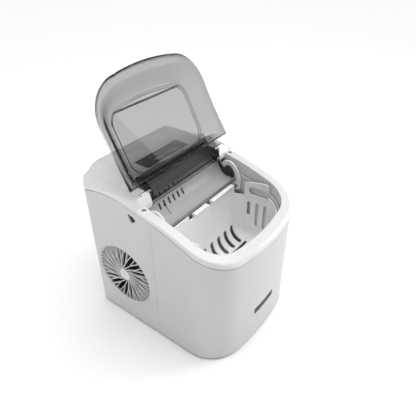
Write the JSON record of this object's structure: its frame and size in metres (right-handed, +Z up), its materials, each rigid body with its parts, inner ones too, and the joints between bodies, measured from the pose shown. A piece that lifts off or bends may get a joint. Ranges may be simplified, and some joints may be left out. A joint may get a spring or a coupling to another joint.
{
  "type": "countertop ice maker",
  "caption": "Countertop ice maker with a smoked clear lid that swings up, a lift-out ice basket, a tilting water tray with an ice shovel, and a side fan grille.",
  "frame": {"origin": "on the standing surface, at the middle of the casing footprint", "axes": "+Z up, +X to the right seen from the front, +Y to the back; the fan grille is on the -X side and the open lid leans towards +Y"},
  "size_m": [0.224, 0.262, 0.3996],
  "materials": {
    "grey_plastic": "light grey moulded plastic, matt",
    "rubber": "black rubber",
    "rubber_grey": "grey soft rubber",
    "side_panels": "light silver-grey satin paint",
    "white_gloss": "white glossy moulded plastic",
    "tank_plastic": "white plastic, satin",
    "smoked_clear": "smoke-grey clear plastic",
    "steel": "bright steel",
    "panel_dark": "dark grey glossy plastic",
    "button_grey": "dark grey glossy plastic with a light outline",
    "lens": "pale translucent plastic",
    "circuit_board": "green laminate with solder mask",
    "basket_plastic": "white translucent plastic, satin",
    "inner_plastic": "light grey plastic, satin",
    "nickel": "nickel plate",
    "compressor_black": "black enamel",
    "aluminium_fins": "bare aluminium",
    "grille_plastic": "white plastic, satin",
    "motor_grey": "dark grey plastic",
    "fan_plastic": "black-grey plastic",
    "copper": "bare copper",
    "hose_clear": "translucent silicone",
    "black_plastic": "black plastic"
  },
  "bodies": {
    "casing": {"base_pan": "grey_plastic", "feet": "rubber", "rear_housing": "side_panels", "front_shell": "side_panels", "top_cover": "white_gloss", "water_tank": "tank_plastic", "hinge_pins": "steel", "control_panel": "panel_dark", "button_springs": "steel", "indicator_lenses": "lens", "control_board": "circuit_board", "shovel_pins": "steel", "tray_motor": "steel", "evaporator": "nickel", "evaporator_cover": "inner_plastic", "ice_full_sensor": "panel_dark", "inner_frame": "inner_plastic", "compressor": "compressor_black", "compressor_mounts": "rubber", "condenser": "aluminium_fins", "fan_grille": "grille_plastic", "fan_shroud": "grey_plastic", "fan_motor": "motor_grey", "drier_filter": "copper", "solenoid_valve": "copper", "refrigerant_tubes": "copper", "water_pump": "motor_grey", "pump_hose": "hose_clear", "drain_hose": "hose_clear", "drain_spout": "grey_plastic", "power_inlet_gland": "black_plastic", "nameplate": "panel_dark", "rim_screws": "steel", "housing_screws": "steel"},
    "lid": {"lid": "smoked_clear"},
    "left_button": {"left_button": "button_grey"},
    "right_button": {"right_button": "button_grey"},
    "ice_basket": {"ice_basket": "basket_plastic"},
    "ice_shovel": {"ice_shovel": "inner_plastic"},
    "water_tray": {"water_tray": "inner_plastic", "tray_shaft": "steel"},
    "fan": {"fan_blades": "fan_plastic"},
    "drain_plug": {"drain_plug": "rubber_grey"}
  },
  "joints": [
    {"name": "lid_hinge", "type": "hinge", "parent": "casing", "child": "lid", "pos_m": [0, 0.0234, 0.2508], "axis": [-1, 0, 0], "range_deg": [-136, 0]},
    {"name": "left_button_press", "type": "slide", "parent": "casing", "child": "left_button", "axis": [0, 0, -1], "range_m": [0, 0.0008], "stiffness_N_per_m": 400},
    {"name": "right_button_press", "type": "slide", "parent": "casing", "child": "right_button", "axis": [0, 0, -1], "range_m": [0, 0.0008], "stiffness_N_per_m": 400},
    {"name": "basket_lift", "type": "slide", "parent": "casing", "child": "ice_basket", "axis": [0, 0, 1], "range_m": [0, 0.15]},
    {"name": "tray_tilt", "type": "hinge", "parent": "casing", "child": "water_tray", "pos_m": [0, 0.05, 0.214], "axis": [-1, 0, 0], "range_deg": [-60, 0]},
    {"name": "shovel_swing", "type": "hinge", "parent": "casing", "child": "ice_shovel", "pos_m": [0, -0.014, 0.189], "axis": [-1, 0, 0], "range_deg": [-30, 0]},
    {"name": "fan_spin", "type": "hinge", "parent": "casing", "child": "fan", "pos_m": [-0.092, 0.061, 0.095], "axis": [1, 0, 0], "continuous": true},
    {"name": "drain_plug_pull", "type": "slide", "parent": "casing", "child": "drain_plug", "axis": [0, 1, 0], "range_m": [0, 0.02]}
  ],
  "couplings": [
    {"joint": "shovel_swing", "follows": "tray_tilt", "ratio": 0.5}
  ]
}
